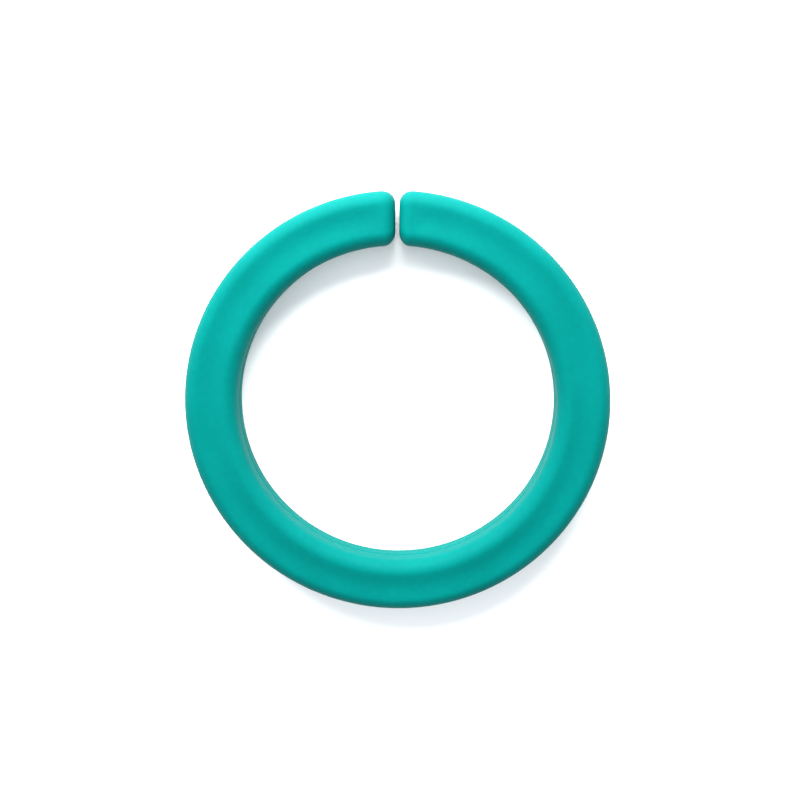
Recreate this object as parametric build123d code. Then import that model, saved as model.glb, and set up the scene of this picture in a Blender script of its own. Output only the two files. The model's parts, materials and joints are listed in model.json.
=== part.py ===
from build123d import *
import math
import os

# Split teething ring, lying on its back face. Millimetres.
# The origin is on the ring's axis, in the plane of the back face. +Z points out of the front face and
# +Y towards the slit. Angles are measured from +X, turning towards +Y, so the slit is at 90 degrees.
#
# The ring is three mouldings: a front and a back half of soft skin, which meet on a plane half way up, and
# a stiff C-shaped core in the channel between them. It opens by bending, mostly in its lower part. So each
# moulding is divided at three flex planes into four rigid segments, two of the base and two arms.

# Ring
outer_diameter = 75.0
section_width = 9.3
section_height = 9.0
edge_radius = 2.3
dish_depth = 0.2

# Free ends
slit_width = 0.8
end_radius = 2.1

# Groove where the two halves meet
parting_chamfer = 0.18

# Core and the channel that holds it
core_width = 5.0
core_height = 5.0
core_corner_radius = 0.8
core_clearance = 0.05
end_wall = 3.0

# Posts of the front half that pass through the core and into the back half
post_diameter = 1.8
post_clearance = 0.1
socket_depth = 0.8
posts_per_arm = 3
posts_per_base = 1

# Flex planes
spread_angle_from_bottom = 50.0

slit_angle = 90.0
bottom_angle = 270.0
outer_radius = outer_diameter / 2
centre_radius = outer_radius - section_width / 2
parting_height = section_height / 2
reach = 2 * outer_diameter

segments = {
    "left_arm": (slit_angle, bottom_angle - spread_angle_from_bottom),
    "left_base": (bottom_angle - spread_angle_from_bottom, bottom_angle),
    "right_base": (bottom_angle, bottom_angle + spread_angle_from_bottom),
    "right_arm": (bottom_angle + spread_angle_from_bottom, slit_angle + 360),
}


def skin_section():
    """Rounded section with a flat back and a front face that is hollowed by one arc between its two edges."""
    side = section_width / 2
    corner_x = side - edge_radius
    corner_z = section_height - edge_radius
    centres_apart = (corner_x**2 + dish_depth**2) / (2 * dish_depth)
    past_top = math.asin(corner_x / centres_apart)
    rim_x = corner_x - edge_radius * math.sin(past_top)
    rim_z = corner_z + edge_radius * math.cos(past_top)
    middle = math.pi / 4 + past_top / 2
    over_x = corner_x + edge_radius * math.cos(middle)
    over_z = corner_z + edge_radius * math.sin(middle)
    low = edge_radius * (1 - math.sqrt(0.5))
    with BuildSketch(Plane.XZ) as section:
        with BuildLine():
            Line((-corner_x, 0), (corner_x, 0))
            ThreePointArc((corner_x, 0), (side - low, low), (side, edge_radius))
            Line((side, edge_radius), (side, corner_z))
            ThreePointArc((side, corner_z), (over_x, over_z), (rim_x, rim_z))
            ThreePointArc((rim_x, rim_z), (0, section_height - dish_depth), (-rim_x, rim_z))
            ThreePointArc((-rim_x, rim_z), (-over_x, over_z), (-side, corner_z))
            Line((-side, corner_z), (-side, edge_radius))
            ThreePointArc((-side, edge_radius), (low - side, low), (-corner_x, 0))
        make_face()
    return Pos(centre_radius, 0, 0) * section.sketch


def open_ring(section, gap):
    """Turns a section about the ring's axis and opens it at the slit angle by a gap with parallel sides."""
    ring = Rot(0, 0, slit_angle) * revolve(section, axis=Axis.Z)
    cutter = Pos(0, outer_radius, 0) * Box(gap, outer_diameter, reach)
    return ring - cutter


def end_edges(ring):
    return ring.faces().filter_by(GeomType.PLANE).filter_by(Axis.X).edges()


def whole_skin():
    ring = open_ring(skin_section(), slit_width)
    rounding = min(end_radius, 0.95 * edge_radius)
    return fillet(end_edges(ring), rounding)


def core_bar(clearance):
    """The core, or with a clearance, the channel that it lies in."""
    grown = 2 * clearance
    corner = core_corner_radius + clearance
    section = Plane.XZ * Pos(centre_radius, parting_height) * RectangleRounded(
        core_width + grown, core_height + grown, corner
    )
    gap = slit_width + 2 * end_wall - grown
    return open_ring(section, gap)


def post_places():
    """Evenly spaced angles along each segment, all clear of the flex planes."""
    angles = []
    for name, (start, end) in segments.items():
        count = posts_per_arm if name.endswith("arm") else posts_per_base
        pitch = (end - start) / count
        angles += [start + pitch * (index + 0.5) for index in range(count)]
    return angles


def posts(radius, bottom, top):
    """One upright rod at each post's place."""
    rods = []
    for angle in post_places():
        rod = Cylinder(radius, top - bottom, align=(Align.CENTER, Align.CENTER, Align.MIN))
        rods.append(Rot(0, 0, angle) * Pos(centre_radius, 0, bottom) * rod)
    return rods


def half_moulding(skin, side_kept):
    """Half of the skin, with its parting edge eased and its share of the core's channel cut out."""
    parting_plane = Plane.XY.offset(parting_height)
    half = split(skin, bisect_by=parting_plane, keep=side_kept)
    parting_edges = half.edges().filter_by_position(Axis.Z, parting_height - 0.001, parting_height + 0.001)
    return chamfer(parting_edges, parting_chamfer) - core_bar(core_clearance)


def segment(moulding, name):
    """The stretch of a moulding between two flex planes."""
    start, end = segments[name]
    on_axis = (Align.NONE, Align.NONE, Align.CENTER)
    wedge = Cylinder(reach, 3 * section_height, arc_size=end - start, align=on_axis)
    return moulding & Rot(0, 0, start) * wedge


channel_floor = parting_height - core_height / 2 - core_clearance
channel_roof = parting_height + core_height / 2 + core_clearance
post_radius = post_diameter / 2
hole_radius = post_radius + post_clearance
socket_floor = channel_floor - socket_depth

skin = whole_skin()
front_half = half_moulding(skin, Keep.TOP) + posts(post_radius, socket_floor + post_clearance, channel_roof)
back_half = half_moulding(skin, Keep.BOTTOM) - posts(hole_radius, socket_floor, channel_roof)
core = core_bar(0) - posts(hole_radius, 0, section_height)

os.makedirs("parts", exist_ok=True)
mouldings = {"front_half": front_half, "back_half": back_half, "core": core}
for moulding_name, moulding in mouldings.items():
    for segment_name in segments:
        piece = segment(moulding, segment_name)
        export_step(piece, f"parts/{moulding_name}_{segment_name}.step")
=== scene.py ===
import json
import math

import bmesh
import bpy
from mathutils import Matrix, Vector


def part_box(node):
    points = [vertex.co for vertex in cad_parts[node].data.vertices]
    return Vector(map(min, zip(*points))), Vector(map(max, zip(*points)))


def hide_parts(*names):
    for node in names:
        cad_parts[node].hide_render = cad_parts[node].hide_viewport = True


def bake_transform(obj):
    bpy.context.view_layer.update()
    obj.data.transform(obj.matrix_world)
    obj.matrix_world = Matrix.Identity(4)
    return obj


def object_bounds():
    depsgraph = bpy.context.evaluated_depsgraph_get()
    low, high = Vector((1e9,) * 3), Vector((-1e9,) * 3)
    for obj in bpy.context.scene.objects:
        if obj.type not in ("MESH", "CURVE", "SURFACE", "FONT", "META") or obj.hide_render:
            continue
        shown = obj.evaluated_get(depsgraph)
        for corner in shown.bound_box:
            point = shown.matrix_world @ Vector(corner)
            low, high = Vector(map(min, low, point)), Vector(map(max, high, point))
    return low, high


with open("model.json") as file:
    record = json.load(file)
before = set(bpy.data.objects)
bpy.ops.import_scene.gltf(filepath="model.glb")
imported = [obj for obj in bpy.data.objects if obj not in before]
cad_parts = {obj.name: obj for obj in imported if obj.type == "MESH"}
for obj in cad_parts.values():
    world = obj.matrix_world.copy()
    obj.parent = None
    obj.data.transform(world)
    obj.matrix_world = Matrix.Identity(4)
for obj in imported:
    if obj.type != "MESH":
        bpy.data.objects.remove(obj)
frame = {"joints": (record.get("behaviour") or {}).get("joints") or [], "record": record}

bl_info = {
    "name": "Split teething ring",
    "version": (1, 0, 0),
    "blender": (4, 5, 0),
    "location": "3D View > Sidebar > Teething ring",
    "description": "Builds the soft skin, the spring core and the studio of a split teething ring",
    "category": "Object",
}

# Everything is in metres, in the frame of the CAD model: the ring lies on its back face, its axis is Z, and
# its slit is on the +Y side. Angles are measured from +X towards +Y, so the slit is at a quarter turn.

MM = 0.001
MERGE_DISTANCE = 1e-6
SHARP_ANGLE = math.radians(40)
CORNER_STEPS = 12
WALL_STEPS = 4
FACE_STEPS = 18
CHANNEL_STEPS = 4
GROOVE_STEPS = 3
END_STEPS = 14
STATION_PITCH = 0.29 * MM
SEAM_STRIP = 0.05 * MM
SQUARE_LENGTH = 20 * MM
DISH_OVERLAP = 0.3 * MM
OPEN_THROUGHOUT = -1.0
CORE_SEAM_FROM_BOTTOM = math.radians(27.5)
CORE_CORNER_STEPS = 6
CORE_END_STEPS = 3
POSTS_PER_ARM = 3
POST_HOLE_SIDES = 48
SWEEP_TREE_NAME = "Bar bent round the ring"

# How large the blotches and the relief of the finishes are.
CLOUD_SIZE = 10 * MM
MOTTLE_SIZE = 1.1 * MM
PATCH_SIZE = 2.5 * MM
RIPPLE_SIZE = 3.5 * MM
RIPPLE_DEPTH = 0.04 * MM
SKIN_GRAIN_DEPTH = 0.05 * MM
SILICONE_IOR = 1.43
FLOW_LINE_SIZE = 4 * MM
CORE_SHEEN_SIZE = 1 * MM
CORE_GRAIN_SIZE = 0.3 * MM
CORE_GRAIN_DEPTH = 0.01 * MM
FLOOR_BLOTCH_SIZE = 60 * MM

FLOOR_SIZE = 1.6
FLOOR_HEIGHT = -0.02 * MM
KEY_PLACE = (-0.04, 0.20, 0.122)
KEY_SIZE = (0.34, 0.23)
FILL_PLACE = (0.29, 0.03, 0.30)
FILL_SIZE = (0.30, 0.30)
KEY_COLOUR = (1.0, 1.0, 0.99)
FILL_COLOUR = (0.92, 0.98, 1.0)
SENSOR_WIDTH = 36
LENS = 45.8
CAMERA_AIM = (-0.16 * MM, 1.57 * MM, 0)
CAMERA_ROLL = math.radians(0.4)
SLIT_ANGLE = math.radians(90)

box_low, box_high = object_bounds()
joint_places = {joint["name"]: Vector(joint["pos_m"]) for joint in frame["joints"]}
hole = next(mount for mount in frame["record"]["mounts"] if mount["name"] == "centre_hole")
core_low, core_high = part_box("core_right_arm")
right_arm_low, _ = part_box("front_half_right_arm")

outer_radius = box_high.x
hole_radius = hole["dims"]["r_mm"] * MM
flex_angle = math.atan2(-joint_places["right_spread"].y, joint_places["right_spread"].x)
flex_angle_from_bottom = SLIT_ANGLE - flex_angle


class RingSizes(bpy.types.PropertyGroup):
    """Sizes of the ring and of its channel. Those that the CAD model fixes take their defaults from it."""

    centre_radius: bpy.props.FloatProperty(
        name="Centre radius", description="From the ring's axis to the middle of its section",
        default=(outer_radius + hole_radius) / 2, subtype="DISTANCE", unit="LENGTH")
    section_width: bpy.props.FloatProperty(
        name="Section width", description="Radial width of the section",
        default=outer_radius - hole_radius, subtype="DISTANCE", unit="LENGTH")
    section_height: bpy.props.FloatProperty(
        name="Section height", description="Height of the section along the ring's axis",
        default=2 * hole["pos_m"][2], subtype="DISTANCE", unit="LENGTH")
    edge_radius: bpy.props.FloatProperty(
        name="Edge radius", description="Rounding of the long edges",
        default=hole["pos_m"][2] - hole["dims"]["length_mm"] * MM / 2, subtype="DISTANCE", unit="LENGTH")
    dish_depth: bpy.props.FloatProperty(
        name="Dish depth", description="Hollow of the front face",
        default=0.2 * MM, subtype="DISTANCE", unit="LENGTH")
    dish_fade: bpy.props.FloatProperty(
        name="Dish fade", description="Distance from a free end over which the dish runs out",
        default=5.0 * MM, subtype="DISTANCE", unit="LENGTH")
    slit_width: bpy.props.FloatProperty(
        name="Slit width", description="Gap between the two parallel end faces",
        default=2 * right_arm_low.x, subtype="DISTANCE", unit="LENGTH")
    end_radius: bpy.props.FloatProperty(
        name="End radius", description="Rounding of the free ends",
        default=2.1 * MM, subtype="DISTANCE", unit="LENGTH")
    groove_radius: bpy.props.FloatProperty(
        name="Groove radius", description="Rounding of each half at the parting line",
        default=0.28 * MM, subtype="DISTANCE", unit="LENGTH")
    channel_width: bpy.props.FloatProperty(
        name="Channel width", description="Radial width of the channel that holds the core",
        default=5.1 * MM, subtype="DISTANCE", unit="LENGTH")
    channel_height: bpy.props.FloatProperty(
        name="Channel height", description="Height of the channel through both halves",
        default=core_high.z - core_low.z + 0.1 * MM, subtype="DISTANCE", unit="LENGTH")
    channel_corner: bpy.props.FloatProperty(
        name="Channel corner", description="Corner radius of the channel",
        default=0.85 * MM, subtype="DISTANCE", unit="LENGTH")
    end_wall: bpy.props.FloatProperty(
        name="End wall", description="Solid skin between a free end and the channel",
        default=3.0 * MM, subtype="DISTANCE", unit="LENGTH")
    core_width: bpy.props.FloatProperty(
        name="Core width", description="Radial width of the core",
        default=5.0 * MM, subtype="DISTANCE", unit="LENGTH")
    core_height: bpy.props.FloatProperty(
        name="Core height", description="Height of the core",
        default=core_high.z - core_low.z, subtype="DISTANCE", unit="LENGTH")
    core_corner: bpy.props.FloatProperty(
        name="Core corner", description="Corner radius of the core",
        default=0.8 * MM, subtype="DISTANCE", unit="LENGTH")
    core_end_radius: bpy.props.FloatProperty(
        name="Core end radius", description="Rounding of the core's two ends",
        default=0.15 * MM, subtype="DISTANCE", unit="LENGTH")
    post_hole_radius: bpy.props.FloatProperty(
        name="Post hole radius", description="Radius of the core's holes for the skin's posts",
        default=1.0 * MM, subtype="DISTANCE", unit="LENGTH")


class RingFinish(bpy.types.PropertyGroup):
    """Colours of the skin and the core, and how rough the skin is."""

    skin_colour: bpy.props.FloatVectorProperty(
        name="Skin colour", description="Teal of the soft skin", subtype="COLOR",
        size=3, min=0, max=1, default=(0.0, 0.121, 0.109))
    skin_roughness: bpy.props.FloatProperty(
        name="Skin roughness", description="Roughness of the satin skin", default=0.55, min=0, max=1,
        subtype="FACTOR")
    grain_size: bpy.props.FloatProperty(
        name="Grain size", description="Size of the moulded grain", default=0.32 * MM,
        subtype="DISTANCE", unit="LENGTH")
    core_colour: bpy.props.FloatVectorProperty(
        name="Core colour", description="Natural colour of the stiff core", subtype="COLOR",
        size=3, min=0, max=1, default=(0.78, 0.77, 0.72))


class StudioSettings(bpy.types.PropertyGroup):
    """Floor, lights and camera."""

    floor_colour: bpy.props.FloatVectorProperty(
        name="Floor colour", description="Plain pale floor", subtype="COLOR",
        size=3, min=0, max=1, default=(0.93, 0.93, 0.93))
    key_power: bpy.props.FloatProperty(
        name="Key power", description="Power of the soft key light", default=3.25, min=0, unit="POWER")
    fill_power: bpy.props.FloatProperty(
        name="Fill power", description="Power of each of the two soft fill lights",
        default=0.2, min=0, unit="POWER")
    ambient: bpy.props.FloatVectorProperty(
        name="Ambient", description="Colour and strength of the light from all round", subtype="COLOR",
        size=3, min=0, max=10, default=(0.92, 0.955, 1.0))
    camera_distance: bpy.props.FloatProperty(
        name="Camera distance", description="From the camera to the middle of the ring",
        default=180 * MM, subtype="DISTANCE", unit="LENGTH")
    camera_tilt: bpy.props.FloatProperty(
        name="Camera tilt", description="Angle between the camera's line and the ring's axis",
        default=math.radians(11.5), subtype="ANGLE", unit="ROTATION")
    camera_bearing: bpy.props.FloatProperty(
        name="Camera bearing", description="Side of the ring above which the camera stands",
        default=math.radians(83.3), subtype="ANGLE", unit="ROTATION")


# Node tree helpers


def add_node(tree, kind, **settings):
    node = tree.nodes.new(kind)
    for name, value in settings.items():
        setattr(node, name, value)
    return node


def feed(tree, socket, value):
    """Links an output socket to an input, or sets the input's own value."""
    if isinstance(value, bpy.types.NodeSocket):
        tree.links.new(value, socket)
    elif value is not None:
        socket.default_value = value


def maths(tree, operation, *values, clamp=False):
    node = add_node(tree, "ShaderNodeMath", operation=operation, use_clamp=clamp)
    for socket, value in zip(node.inputs, values):
        feed(tree, socket, value)
    return node.outputs[0]


def switch(tree, kind, choice, if_false, if_true):
    node = add_node(tree, "GeometryNodeSwitch", input_type=kind)
    for socket, value in zip(node.inputs, (choice, if_false, if_true)):
        feed(tree, socket, value)
    return node.outputs[0]


def compare(tree, operation, first, second):
    node = add_node(tree, "FunctionNodeCompare", data_type="FLOAT", operation=operation)
    feed(tree, node.inputs[0], first)
    feed(tree, node.inputs[1], second)
    return node.outputs[0]


def named(tree, name):
    node = add_node(tree, "GeometryNodeInputNamedAttribute", data_type="FLOAT")
    node.inputs["Name"].default_value = name
    return node.outputs["Attribute"]


def store(tree, geometry, name, domain, kind, value):
    node = add_node(tree, "GeometryNodeStoreNamedAttribute", domain=domain, data_type=kind)
    node.inputs["Name"].default_value = name
    feed(tree, node.inputs["Geometry"], geometry)
    feed(tree, node.inputs["Value"], value)
    return node.outputs[0]


# The swept skin

SWEEP_INPUTS = (
    ("Centre Radius", "NodeSocketFloat"),
    ("Middle Height", "NodeSocketFloat"),
    ("Start Angle", "NodeSocketFloat"),
    ("Turn", "NodeSocketFloat"),
    ("Length", "NodeSocketFloat"),
    ("Stations", "NodeSocketInt"),
    ("Free End", "NodeSocketBool"),
    ("Half Gap", "NodeSocketFloat"),
    ("End Radius", "NodeSocketFloat"),
    ("End Steps", "NodeSocketInt"),
    ("Half Section", "NodeSocketFloat"),
    ("Seam Strip", "NodeSocketFloat"),
    ("Square Length", "NodeSocketFloat"),
    ("Dish Depth", "NodeSocketFloat"),
    ("Dish Half Width", "NodeSocketFloat"),
    ("Dish Fade", "NodeSocketFloat"),
    ("Channel Start", "NodeSocketFloat"),
    ("Groove Radius", "NodeSocketFloat"),
    ("Material", "NodeSocketMaterial"),
)


def station_places(tree, size):
    """Distance of each station along the bar, and the share of the section that is left at it."""
    index = add_node(tree, "GeometryNodeInputIndex").outputs[0]
    steps = switch(tree, "FLOAT", size["Free End"], 1.0, size["End Steps"])
    run_in = switch(tree, "FLOAT", size["Free End"], size["Seam Strip"], size["End Radius"])
    rounding = switch(tree, "FLOAT", size["Free End"], 0.0, size["End Radius"])
    quarter = maths(tree, "MULTIPLY", maths(tree, "DIVIDE", index, steps), math.pi / 2)
    quarter = maths(tree, "MINIMUM", quarter, math.pi / 2)
    near = maths(tree, "MULTIPLY", run_in, maths(tree, "SUBTRACT", 1.0, maths(tree, "COSINE", quarter)))
    even_length = maths(tree, "SUBTRACT", maths(tree, "SUBTRACT", size["Length"], run_in), size["Seam Strip"])
    even_count = maths(tree, "SUBTRACT", maths(tree, "SUBTRACT", size["Stations"], 2.0), steps)
    pitch = maths(tree, "DIVIDE", even_length, even_count)
    beyond = maths(tree, "MAXIMUM", maths(tree, "SUBTRACT", index, steps), 0.0)
    place = maths(tree, "ADD", near, maths(tree, "MULTIPLY", beyond, pitch))
    place = maths(tree, "MINIMUM", place, size["Length"])
    inset = maths(tree, "MULTIPLY", rounding, maths(tree, "SUBTRACT", 1.0, maths(tree, "SINE", quarter)))
    share = maths(tree, "SUBTRACT", 1.0, maths(tree, "DIVIDE", inset, size["Half Section"]))
    return place, share


def smooth_rise(tree, value, start, end):
    node = add_node(tree, "ShaderNodeMapRange", interpolation_type="SMOOTHSTEP")
    for name, setting in (("Value", value), ("From Min", start), ("From Max", end)):
        feed(tree, node.inputs[name], setting)
    return node.outputs[0]


def dished(tree, size, along, across, up):
    """Lowers the front face by one smooth hollow that runs out towards a free end."""
    share = maths(tree, "ABSOLUTE", maths(tree, "DIVIDE", across, size["Dish Half Width"]))
    share = maths(tree, "MINIMUM", share, 1.0)
    bowl = maths(tree, "POWER", maths(tree, "SUBTRACT", 1.0, maths(tree, "MULTIPLY", share, share)), 2.0)
    from_end = smooth_rise(tree, along, maths(tree, "MULTIPLY", size["End Radius"], 0.5), size["Dish Fade"])
    everywhere = switch(tree, "FLOAT", size["Free End"], 1.0, from_end)
    on_face = named(tree, "face")
    depth = maths(tree, "MULTIPLY", maths(tree, "MULTIPLY", size["Dish Depth"], bowl), everywhere)
    return maths(tree, "SUBTRACT", up, maths(tree, "MULTIPLY", depth, on_face))


def grooved(tree, size, along, up):
    """Keeps the parting faces clear of the parting plane close to a free end, so that its edge is rounded."""
    share = maths(tree, "SUBTRACT", 1.0, maths(tree, "DIVIDE", along, size["Groove Radius"]))
    share = maths(tree, "MAXIMUM", share, 0.0)
    level = maths(tree, "SQRT", maths(tree, "SUBTRACT", 1.0, maths(tree, "MULTIPLY", share, share)))
    clearance = maths(tree, "MULTIPLY", size["Groove Radius"], maths(tree, "SUBTRACT", 1.0, level))
    clearance = switch(tree, "FLOAT", size["Free End"], 0.0, clearance)
    raised = maths(tree, "MULTIPLY", maths(tree, "MAXIMUM", maths(tree, "ABSOLUTE", up), clearance),
                   named(tree, "parting"))
    kept = maths(tree, "SUBTRACT", 1.0, maths(tree, "ABSOLUTE", named(tree, "parting")))
    return maths(tree, "ADD", raised, maths(tree, "MULTIPLY", up, kept))


def bent_position(tree, size, along, across, up):
    """Turns a place on the straight bar into its place on the ring, with the end faces kept parallel."""
    radius = maths(tree, "ADD", size["Centre Radius"], across)
    at_centre = maths(tree, "ARCSINE", maths(tree, "DIVIDE", size["Half Gap"], size["Centre Radius"]))
    at_radius = maths(tree, "ARCSINE", maths(tree, "DIVIDE", size["Half Gap"], radius))
    squareness = maths(tree, "SUBTRACT", 1.0, smooth_rise(tree, along, 0.0, size["Square Length"]))
    shear = maths(tree, "MULTIPLY", maths(tree, "SUBTRACT", at_radius, at_centre), squareness)
    offset = switch(tree, "FLOAT", size["Free End"], 0.0, maths(tree, "ADD", at_centre, shear))
    turned = maths(tree, "ADD", maths(tree, "DIVIDE", along, size["Centre Radius"]), offset)
    angle = maths(tree, "ADD", size["Start Angle"], maths(tree, "MULTIPLY", turned, size["Turn"]))
    place = add_node(tree, "ShaderNodeCombineXYZ")
    feed(tree, place.inputs[0], maths(tree, "MULTIPLY", radius, maths(tree, "COSINE", angle)))
    feed(tree, place.inputs[1], maths(tree, "MULTIPLY", radius, maths(tree, "SINE", angle)))
    feed(tree, place.inputs[2], maths(tree, "ADD", size["Middle Height"], up))
    return place.outputs[0]


def sweep_tree():
    """A closed outline swept along a straight bar, rounded at its free end, then bent round the ring."""
    tree = bpy.data.node_groups.new(SWEEP_TREE_NAME, "GeometryNodeTree")
    tree.interface.new_socket("Outline", in_out="INPUT", socket_type="NodeSocketGeometry")
    for name, kind in SWEEP_INPUTS:
        tree.interface.new_socket(name, in_out="INPUT", socket_type=kind)
    tree.interface.new_socket("Bar", in_out="OUTPUT", socket_type="NodeSocketGeometry")
    size = add_node(tree, "NodeGroupInput").outputs

    outline = add_node(tree, "GeometryNodeMeshToCurve")
    feed(tree, outline.inputs["Mesh"], size["Outline"])
    place, share = station_places(tree, size)
    line = add_node(tree, "GeometryNodeCurvePrimitiveLine")
    line.inputs["End"].default_value = (1, 0, 0)
    stations = add_node(tree, "GeometryNodeResampleCurve")
    feed(tree, stations.inputs["Curve"], line.outputs[0])
    feed(tree, stations.inputs["Count"], size["Stations"])
    along_x = add_node(tree, "ShaderNodeCombineXYZ")
    feed(tree, along_x.inputs[0], place)
    spaced = add_node(tree, "GeometryNodeSetPosition")
    feed(tree, spaced.inputs["Geometry"], stations.outputs[0])
    feed(tree, spaced.inputs["Position"], along_x.outputs[0])
    path = store(tree, spaced.outputs[0], "share", "POINT", "FLOAT", share)
    path = store(tree, path, "along", "POINT", "FLOAT", place)
    bar = add_node(tree, "GeometryNodeCurveToMesh")
    feed(tree, bar.inputs["Curve"], path)
    feed(tree, bar.inputs["Profile Curve"], outline.outputs[0])
    bar.inputs["Fill Caps"].default_value = True

    along, left = named(tree, "along"), named(tree, "share")
    across = maths(tree, "MULTIPLY", named(tree, "across"), left)
    up = maths(tree, "MULTIPLY", named(tree, "up"), left)
    up = dished(tree, size, along, across, up)
    solid = compare(tree, "LESS_THAN", along, size["Channel Start"])
    shut = maths(tree, "MULTIPLY", named(tree, "channel"), solid)
    up = maths(tree, "MULTIPLY", up, maths(tree, "SUBTRACT", 1.0, shut))
    up = grooved(tree, size, along, up)
    bent = add_node(tree, "GeometryNodeSetPosition")
    feed(tree, bent.inputs["Geometry"], bar.outputs[0])
    feed(tree, bent.inputs["Position"], bent_position(tree, size, along, across, up))

    clockwise = compare(tree, "LESS_THAN", size["Turn"], 0.0)
    flipped = add_node(tree, "GeometryNodeFlipFaces")
    feed(tree, flipped.inputs["Mesh"], bent.outputs[0])
    feed(tree, flipped.inputs["Selection"], clockwise)
    merged = add_node(tree, "GeometryNodeMergeByDistance")
    feed(tree, merged.inputs["Geometry"], flipped.outputs[0])
    merged.inputs["Distance"].default_value = MERGE_DISTANCE

    realized = add_node(tree, "GeometryNodeRealizeInstances")
    feed(tree, realized.inputs[0], merged.outputs[0])
    edge_angle = add_node(tree, "GeometryNodeInputMeshEdgeAngle").outputs["Unsigned Angle"]
    corner = compare(tree, "GREATER_THAN", edge_angle, SHARP_ANGLE)
    creased = add_node(tree, "GeometryNodeSetShadeSmooth", domain="EDGE")
    feed(tree, creased.inputs["Geometry"], realized.outputs[0])
    feed(tree, creased.inputs["Selection"], corner)
    creased.inputs["Shade Smooth"].default_value = False
    painted = add_node(tree, "GeometryNodeSetMaterial")
    feed(tree, painted.inputs["Geometry"], creased.outputs[0])
    feed(tree, painted.inputs["Material"], size["Material"])
    output = add_node(tree, "NodeGroupOutput")
    feed(tree, output.inputs[0], painted.outputs[0])
    return tree


def wire_outline(name, points, side=0):
    """Closed wire through places (across, up, kind). The kinds are kept as attributes for the sweep. side is
    the direction in which the points of the parting faces may leave the parting plane."""
    count = len(points)
    wire = bpy.data.meshes.new(name)
    wire.from_pydata([(x, z, 0) for x, z, _ in points], [(i, (i + 1) % count) for i in range(count)], [])
    columns = {
        "across": [x for x, _, _ in points],
        "up": [z for _, z, _ in points],
        "face": [float(kind == "face") for _, _, kind in points],
        "channel": [float(kind == "channel") for _, _, kind in points],
        "parting": [float(side) if kind in ("lip", "mouth", "channel") else 0.0 for _, _, kind in points],
    }
    for column, values in columns.items():
        wire.attributes.new(column, "FLOAT", "POINT").data.foreach_set("value", values)
    return wire


def quarter_turns(steps):
    """Angles that divide a quarter turn into equal steps, with both its ends."""
    return [math.pi / 2 * step / steps for step in range(steps + 1)]


def half_outline(sizes, side):
    """Outline of one half's section. It runs from the outer lip over the face to the inner lip, then round
    the half of the channel. side is 1 for the front half, whose face is dished, and -1 for the back half."""
    half_width, half_height = sizes.section_width / 2, sizes.section_height / 2
    corner_x, corner_z = half_width - sizes.edge_radius, half_height - sizes.edge_radius
    channel_x, channel_z = sizes.channel_width / 2, sizes.channel_height / 2
    inner_x, inner_z = channel_x - sizes.channel_corner, channel_z - sizes.channel_corner
    edge, corner, groove = sizes.edge_radius, sizes.channel_corner, sizes.groove_radius
    face = "face" if side > 0 else "back"

    lip = [(half_width - groove * (1 - math.sin(turn)), groove * (1 - math.cos(turn)), "lip")
           for turn in quarter_turns(GROOVE_STEPS)]
    wall = [groove + (corner_z - groove) * step / WALL_STEPS for step in range(1, WALL_STEPS)]
    points = list(lip)
    points += [(half_width, z, "wall") for z in wall]
    points += [(corner_x + edge * math.cos(turn), corner_z + edge * math.sin(turn), face)
               for turn in quarter_turns(CORNER_STEPS)]
    points += [(corner_x * (1 - 2 * step / FACE_STEPS), half_height, face) for step in range(1, FACE_STEPS)]
    points += [(-corner_x - edge * math.sin(turn), corner_z + edge * math.cos(turn), face)
               for turn in quarter_turns(CORNER_STEPS)]
    points += [(-half_width, z, "wall") for z in reversed(wall)]
    points += [(-x, z, kind) for x, z, kind in reversed(lip)]
    points += [(-channel_x, 0.0, "mouth")]
    points += [(-inner_x - corner * math.cos(turn), inner_z + corner * math.sin(turn), "channel")
               for turn in quarter_turns(CHANNEL_STEPS)]
    points += [(inner_x + corner * math.sin(turn), inner_z + corner * math.cos(turn), "channel")
               for turn in quarter_turns(CHANNEL_STEPS)]
    points += [(channel_x, 0.0, "mouth")]
    if side > 0:
        points.reverse()
    return wire_outline("Half outline", [(x, side * z, kind) for x, z, kind in points], side)


def core_outline(sizes):
    """Rounded square outline of the core."""
    corner_x = sizes.core_width / 2 - sizes.core_corner
    corner_z = sizes.core_height / 2 - sizes.core_corner
    points = []
    for corner, (side_x, side_z) in enumerate(((1, 1), (-1, 1), (-1, -1), (1, -1))):
        for within in quarter_turns(CORE_CORNER_STEPS):
            turn = corner * math.pi / 2 + within
            points.append((side_x * corner_x + sizes.core_corner * math.cos(turn),
                           side_z * corner_z + sizes.core_corner * math.sin(turn), "core"))
    points.reverse()
    return wire_outline("Core outline", points)


def set_input(modifier, name, value):
    for item in modifier.node_group.interface.items_tree:
        if item.item_type == "SOCKET" and item.in_out == "INPUT" and item.name == name:
            modifier[item.identifier] = value
            return
    raise KeyError(name)


def swept_piece(name, outline, tree, settings):
    """Runs the sweep on an outline and returns the plain mesh object."""
    maker = bpy.data.objects.new(name + "_maker", outline)
    bpy.context.scene.collection.objects.link(maker)
    sweep = maker.modifiers.new("Sweep", "NODES")
    sweep.node_group = tree
    for input_name, value in settings.items():
        set_input(sweep, input_name, value)
    bpy.context.view_layer.update()
    evaluated = maker.evaluated_get(bpy.context.evaluated_depsgraph_get())
    mesh = bpy.data.meshes.new_from_object(evaluated)
    bpy.data.objects.remove(maker)
    mesh.name = name
    piece = bpy.data.objects.new(name, mesh)
    bpy.context.scene.collection.objects.link(piece)
    return piece


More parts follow.
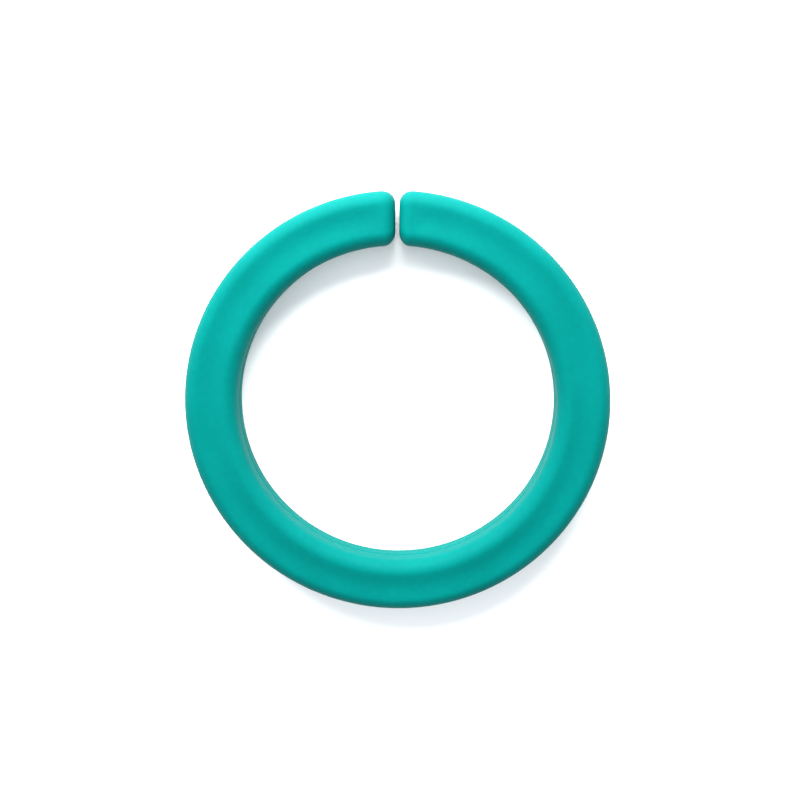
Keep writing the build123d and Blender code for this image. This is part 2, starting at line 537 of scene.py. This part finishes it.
def sweep_settings(sizes):
    """Inputs of the sweep that most pieces share."""
    half_section = sizes.section_width / 2
    return {
        "Centre Radius": sizes.centre_radius,
        "Middle Height": sizes.section_height / 2,
        "End Radius": sizes.end_radius,
        "Half Section": half_section,
        "Seam Strip": SEAM_STRIP,
        "Square Length": SQUARE_LENGTH,
        "Dish Depth": sizes.dish_depth,
        "Dish Half Width": half_section - sizes.edge_radius + DISH_OVERLAP,
        "Dish Fade": sizes.dish_fade,
        "Groove Radius": sizes.groove_radius,
    }


def stretches(sizes, seam_from_bottom, half_gap, end_steps):
    """The three stretches of a bar: two arms with a free end, and the bottom between them. Each reaches into
    a base segment, to where the ring doesn't bend."""
    bottom_angle = -SLIT_ANGLE
    gap_angle = math.asin(half_gap / sizes.centre_radius)
    arm_length = (math.pi - seam_from_bottom - gap_angle) * sizes.centre_radius
    bottom_length = 2 * seam_from_bottom * sizes.centre_radius
    arm = {
        "Start Angle": SLIT_ANGLE, "Length": arm_length, "Free End": True, "Half Gap": half_gap,
        "End Steps": end_steps, "Stations": end_steps + round(arm_length / STATION_PITCH),
        "Channel Start": sizes.end_wall,
    }
    bottom = {
        "Start Angle": bottom_angle - seam_from_bottom, "Turn": 1.0, "Length": bottom_length,
        "Free End": False, "Stations": round(bottom_length / STATION_PITCH), "Channel Start": OPEN_THROUGHOUT,
    }
    return {
        "left": ({**arm, "Turn": 1.0}, ("left_arm", "left_base"), math.pi + flex_angle, ("left_arm",)),
        "bottom": (bottom, ("left_base", "right_base"), bottom_angle, ("left_base", "right_base")),
        "right": ({**arm, "Turn": -1.0}, ("right_arm", "right_base"), -flex_angle, ("right_arm",)),
    }


def bend_across(piece):
    """Bakes the piece's transform into its mesh."""
    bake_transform(piece)


def build_bar(name, outline, shared, bar_stretches, finish_piece=None):
    """Builds a bar's three stretches, bakes each one's transform and hides the CAD nodes that they cover."""
    tree = bpy.data.node_groups.get(SWEEP_TREE_NAME) or sweep_tree()
    sizes = bpy.context.scene.ring_sizes
    for stretch, (settings, bodies, flex_plane_angle, segments) in bar_stretches.items():
        piece = swept_piece(f"{name}_{stretch}", outline.copy(), tree, {**shared, **settings})
        if finish_piece:
            finish_piece(piece, sizes)
        bend_across(piece)
        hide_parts(*[f"{name}_{segment}" for segment in segments])


def build_half(half):
    """Builds the three stretches of one half of the skin."""
    sizes = bpy.context.scene.ring_sizes
    shared = {**sweep_settings(sizes), "Material": skin_material()}
    side = 1 if half == "front_half" else -1
    half_stretches = stretches(sizes, flex_angle_from_bottom / 2, sizes.slit_width / 2, END_STEPS)
    build_bar(half, half_outline(sizes, side), shared, half_stretches)


def post_angles():
    """Angles of the posts: evenly spaced along each arm, and one in the middle of each base."""
    arm_angle = math.pi - flex_angle_from_bottom
    from_slit = [arm_angle * (index + 0.5) / POSTS_PER_ARM for index in range(POSTS_PER_ARM)]
    from_slit.append(math.pi - flex_angle_from_bottom / 2)
    return [SLIT_ANGLE + side * angle for side in (1, -1) for angle in from_slit]


def drill_post_holes(piece, sizes):
    """Cuts the round holes that the skin's posts pass through."""
    drills = bmesh.new()
    for angle in post_angles():
        place = Vector((math.cos(angle), math.sin(angle), 0)) * sizes.centre_radius
        place.z = sizes.section_height / 2
        bmesh.ops.create_cone(
            drills, cap_ends=True, segments=POST_HOLE_SIDES, radius1=sizes.post_hole_radius,
            radius2=sizes.post_hole_radius, depth=2 * sizes.core_height, matrix=Matrix.Translation(place))
    drill_mesh = bpy.data.meshes.new("post_drills")
    drills.to_mesh(drill_mesh)
    drills.free()
    drill = bpy.data.objects.new("post_drills", drill_mesh)
    bpy.context.scene.collection.objects.link(drill)
    cut = piece.modifiers.new("Post holes", "BOOLEAN")
    cut.operation = "DIFFERENCE"
    cut.solver = "EXACT"
    cut.object = drill
    bpy.context.view_layer.update()
    drilled = bpy.data.meshes.new_from_object(piece.evaluated_get(bpy.context.evaluated_depsgraph_get()))
    piece.modifiers.remove(cut)
    drilled.name = piece.name
    drilled.shade_smooth()
    drilled.set_sharp_from_angle(angle=SHARP_ANGLE)
    piece.data = drilled
    bpy.data.objects.remove(drill)


def build_core():
    """Builds the three stretches of the core."""
    sizes = bpy.context.scene.ring_sizes
    shared = {
        **sweep_settings(sizes),
        "End Radius": sizes.core_end_radius,
        "Half Section": sizes.core_width / 2,
        "Dish Depth": 0.0,
        "Material": core_material(),
    }
    half_gap = sizes.slit_width / 2 + sizes.end_wall
    core_stretches = stretches(sizes, CORE_SEAM_FROM_BOTTOM, half_gap, CORE_END_STEPS)
    build_bar("core", core_outline(sizes), shared, core_stretches, drill_post_holes)


# Finishes


def new_material(name):
    material = bpy.data.materials.new(name)
    material.use_nodes = True
    tree = material.node_tree
    return material, tree, tree.nodes["Principled BSDF"]


def noise(tree, place, size, detail, roughness=0.5):
    """Noise whose blotches are about as large as size, in metres."""
    node = add_node(tree, "ShaderNodeTexNoise")
    feed(tree, node.inputs["Vector"], place)
    node.inputs["Scale"].default_value = 1 / size
    node.inputs["Detail"].default_value = detail
    node.inputs["Roughness"].default_value = roughness
    return node.outputs["Fac"]


def spread(tree, value, low, high, start=0.3, end=0.7):
    """Maps the middle of a noise to the span from low to high."""
    node = add_node(tree, "ShaderNodeMapRange")
    feed(tree, node.inputs["Value"], value)
    for name, setting in (("From Min", start), ("From Max", end), ("To Min", low), ("To Max", high)):
        feed(tree, node.inputs[name], setting)
    return node.outputs[0]


def tinted(tree, colour, brightness):
    """A colour made lighter or darker by a factor."""
    node = add_node(tree, "ShaderNodeMix", data_type="RGBA", blend_type="MULTIPLY")
    node.inputs["Factor"].default_value = 1
    shade = add_node(tree, "ShaderNodeCombineColor")
    for socket in shade.inputs[:3]:
        feed(tree, socket, brightness)
    feed(tree, node.inputs["A"], (*colour, 1))
    feed(tree, node.inputs["B"], shade.outputs[0])
    return node.outputs["Result"]


def skin_material():
    """Soft, satin silicone rubber with cloudy pigment, a fine moulded grain and a faint ripple."""
    name = "soft_teal_skin"
    if name in bpy.data.materials:
        return bpy.data.materials[name]
    finish = bpy.context.scene.ring_finish
    material, tree, shader = new_material(name)
    place = add_node(tree, "ShaderNodeTexCoord").outputs["Object"]
    clouds = spread(tree, noise(tree, place, CLOUD_SIZE, 3), 0.95, 1.05)
    mottle = spread(tree, noise(tree, place, MOTTLE_SIZE, 3, 0.6), 0.96, 1.04)
    pigment = maths(tree, "MULTIPLY", clouds, mottle)
    feed(tree, shader.inputs["Base Color"], tinted(tree, finish.skin_colour, pigment))
    patches = noise(tree, place, PATCH_SIZE, 4)
    feed(tree, shader.inputs["Roughness"],
         spread(tree, patches, finish.skin_roughness - 0.03, finish.skin_roughness + 0.03))
    shader.inputs["IOR"].default_value = SILICONE_IOR
    shader.inputs["Specular IOR Level"].default_value = 0.05
    shader.inputs["Specular Tint"].default_value = (0.5, 1, 1, 1)
    grain = add_node(tree, "ShaderNodeBump")
    grain.inputs["Strength"].default_value = 0.35
    grain.inputs["Distance"].default_value = SKIN_GRAIN_DEPTH
    feed(tree, grain.inputs["Height"], noise(tree, place, finish.grain_size, 3, 0.6))
    ripple = add_node(tree, "ShaderNodeBump")
    ripple.inputs["Strength"].default_value = 0.5
    ripple.inputs["Distance"].default_value = RIPPLE_DEPTH
    feed(tree, ripple.inputs["Height"], noise(tree, place, RIPPLE_SIZE, 2))
    feed(tree, ripple.inputs["Normal"], grain.outputs[0])
    feed(tree, shader.inputs["Normal"], ripple.outputs[0])
    return material


def core_material():
    """Natural, unpainted stiff plastic with faint flow lines."""
    finish = bpy.context.scene.ring_finish
    material, tree, shader = new_material("natural_core")
    place = add_node(tree, "ShaderNodeTexCoord").outputs["Object"]
    flow = spread(tree, noise(tree, place, FLOW_LINE_SIZE, 5), 0.95, 1.03)
    feed(tree, shader.inputs["Base Color"], tinted(tree, finish.core_colour, flow))
    feed(tree, shader.inputs["Roughness"],
         spread(tree, noise(tree, place, CORE_SHEEN_SIZE, 3), 0.38, 0.48))
    grain = add_node(tree, "ShaderNodeBump")
    grain.inputs["Strength"].default_value = 0.3
    grain.inputs["Distance"].default_value = CORE_GRAIN_DEPTH
    feed(tree, grain.inputs["Height"], noise(tree, place, CORE_GRAIN_SIZE, 3))
    feed(tree, shader.inputs["Normal"], grain.outputs[0])
    return material


def floor_material():
    material, tree, shader = new_material("pale_floor")
    studio = bpy.context.scene.ring_studio
    place = add_node(tree, "ShaderNodeTexCoord").outputs["Object"]
    blotches = spread(tree, noise(tree, place, FLOOR_BLOTCH_SIZE, 2), 0.995, 1.005)
    feed(tree, shader.inputs["Base Color"], tinted(tree, studio.floor_colour, blotches))
    shader.inputs["Roughness"].default_value = 0.9
    shader.inputs["Specular IOR Level"].default_value = 0.1
    return material


# Stage


def build_floor():
    half = FLOOR_SIZE / 2
    mesh = bpy.data.meshes.new("floor")
    corners = [(x, y, FLOOR_HEIGHT) for x, y in ((-half, -half), (half, -half), (half, half), (-half, half))]
    mesh.from_pydata(corners, [], [(0, 1, 2, 3)])
    mesh.materials.append(floor_material())
    floor = bpy.data.objects.new("floor", mesh)
    bpy.context.scene.collection.objects.link(floor)


def area_light(name, place, size, power, colour, target):
    light = bpy.data.lights.new(name, "AREA")
    light.shape = "ELLIPSE"
    light.size, light.size_y = size
    light.energy = power
    light.color = colour
    lamp = bpy.data.objects.new(name, light)
    lamp.location = place
    lamp.rotation_euler = (target - place).to_track_quat("-Z", "Y").to_euler()
    bpy.context.scene.collection.objects.link(lamp)


def build_camera(middle):
    """A camera over the ring, a little to the slit's side, with the ring's +Y upwards in its picture."""
    studio = bpy.context.scene.ring_studio
    sideways, upright = math.sin(studio.camera_tilt), math.cos(studio.camera_tilt)
    bearing = studio.camera_bearing
    outwards = Vector((sideways * math.cos(bearing), sideways * math.sin(bearing), upright))
    place = middle + outwards * studio.camera_distance
    back = (place - (middle + Vector(CAMERA_AIM))).normalized()
    level = (Vector((1, 0, 0)) - back * back.x).normalized()
    right = Matrix.Rotation(CAMERA_ROLL, 3, back) @ level
    up = back.cross(right)
    camera = bpy.data.objects.new("camera", bpy.data.cameras.new("camera"))
    camera.matrix_world = Matrix.Translation(place) @ Matrix((right, up, back)).transposed().to_4x4()
    camera.data.sensor_width = SENSOR_WIDTH
    camera.data.lens = LENS
    camera.data.clip_start, camera.data.clip_end = 0.01, 10
    bpy.context.scene.collection.objects.link(camera)
    bpy.context.scene.camera = camera


def build_surround():
    world = bpy.data.worlds.new("studio_surround")
    world.use_nodes = True
    background = world.node_tree.nodes["Background"]
    background.inputs["Color"].default_value = (*bpy.context.scene.ring_studio.ambient, 1)
    bpy.context.scene.world = world
    bpy.context.scene.view_settings.view_transform = "Standard"


# Operators


class RING_OT_front_half(bpy.types.Operator):
    """Build the front half of the soft skin"""

    bl_idname = "ring.front_half"
    bl_label = "Front half"

    def execute(self, context):
        build_half("front_half")
        return {"FINISHED"}


class RING_OT_back_half(bpy.types.Operator):
    """Build the back half of the soft skin"""

    bl_idname = "ring.back_half"
    bl_label = "Back half"

    def execute(self, context):
        build_half("back_half")
        return {"FINISHED"}


class RING_OT_core(bpy.types.Operator):
    """Build the stiff core inside the skin"""

    bl_idname = "ring.core"
    bl_label = "Core"

    def execute(self, context):
        build_core()
        return {"FINISHED"}


class RING_OT_studio(bpy.types.Operator):
    """Build the floor, the lights and the camera"""

    bl_idname = "ring.studio"
    bl_label = "Studio"

    def execute(self, context):
        studio = context.scene.ring_studio
        middle = Vector((0, 0, context.scene.ring_sizes.section_height / 2))
        build_floor()
        area_light("key", Vector(KEY_PLACE), KEY_SIZE, studio.key_power, KEY_COLOUR, middle)
        for name, side in (("fill_left", -1), ("fill_right", 1)):
            place = Vector((side * FILL_PLACE[0], FILL_PLACE[1], FILL_PLACE[2]))
            area_light(name, place, FILL_SIZE, studio.fill_power, FILL_COLOUR, middle)
        build_camera(middle)
        build_surround()
        return {"FINISHED"}


OPERATORS = (RING_OT_front_half, RING_OT_back_half, RING_OT_core, RING_OT_studio)


class RING_PT_panel(bpy.types.Panel):
    """Sizes, finishes and studio of the ring"""

    bl_label = "Teething ring"
    bl_idname = "RING_PT_panel"
    bl_space_type = "VIEW_3D"
    bl_region_type = "UI"
    bl_category = "Teething ring"

    def draw(self, context):
        for settings in (context.scene.ring_sizes, context.scene.ring_finish, context.scene.ring_studio):
            column = self.layout.column()
            for name in settings.__annotations__:
                column.prop(settings, name)
        for operator in OPERATORS:
            self.layout.operator(operator.bl_idname)


SETTINGS = {"ring_sizes": RingSizes, "ring_finish": RingFinish, "ring_studio": StudioSettings}


def register():
    for group in SETTINGS.values():
        bpy.utils.register_class(group)
    for name, group in SETTINGS.items():
        setattr(bpy.types.Scene, name, bpy.props.PointerProperty(type=group))
    for operator in OPERATORS:
        bpy.utils.register_class(operator)
    bpy.utils.register_class(RING_PT_panel)


def unregister():
    bpy.utils.unregister_class(RING_PT_panel)
    for operator in reversed(OPERATORS):
        bpy.utils.unregister_class(operator)
    for name, group in SETTINGS.items():
        delattr(bpy.types.Scene, name)
        bpy.utils.unregister_class(group)


def main():
    register()
    bpy.ops.ring.studio()
    bpy.ops.ring.front_half()
    bpy.ops.ring.back_half()
    bpy.ops.ring.core()


if __name__ == "__main__":
    main()
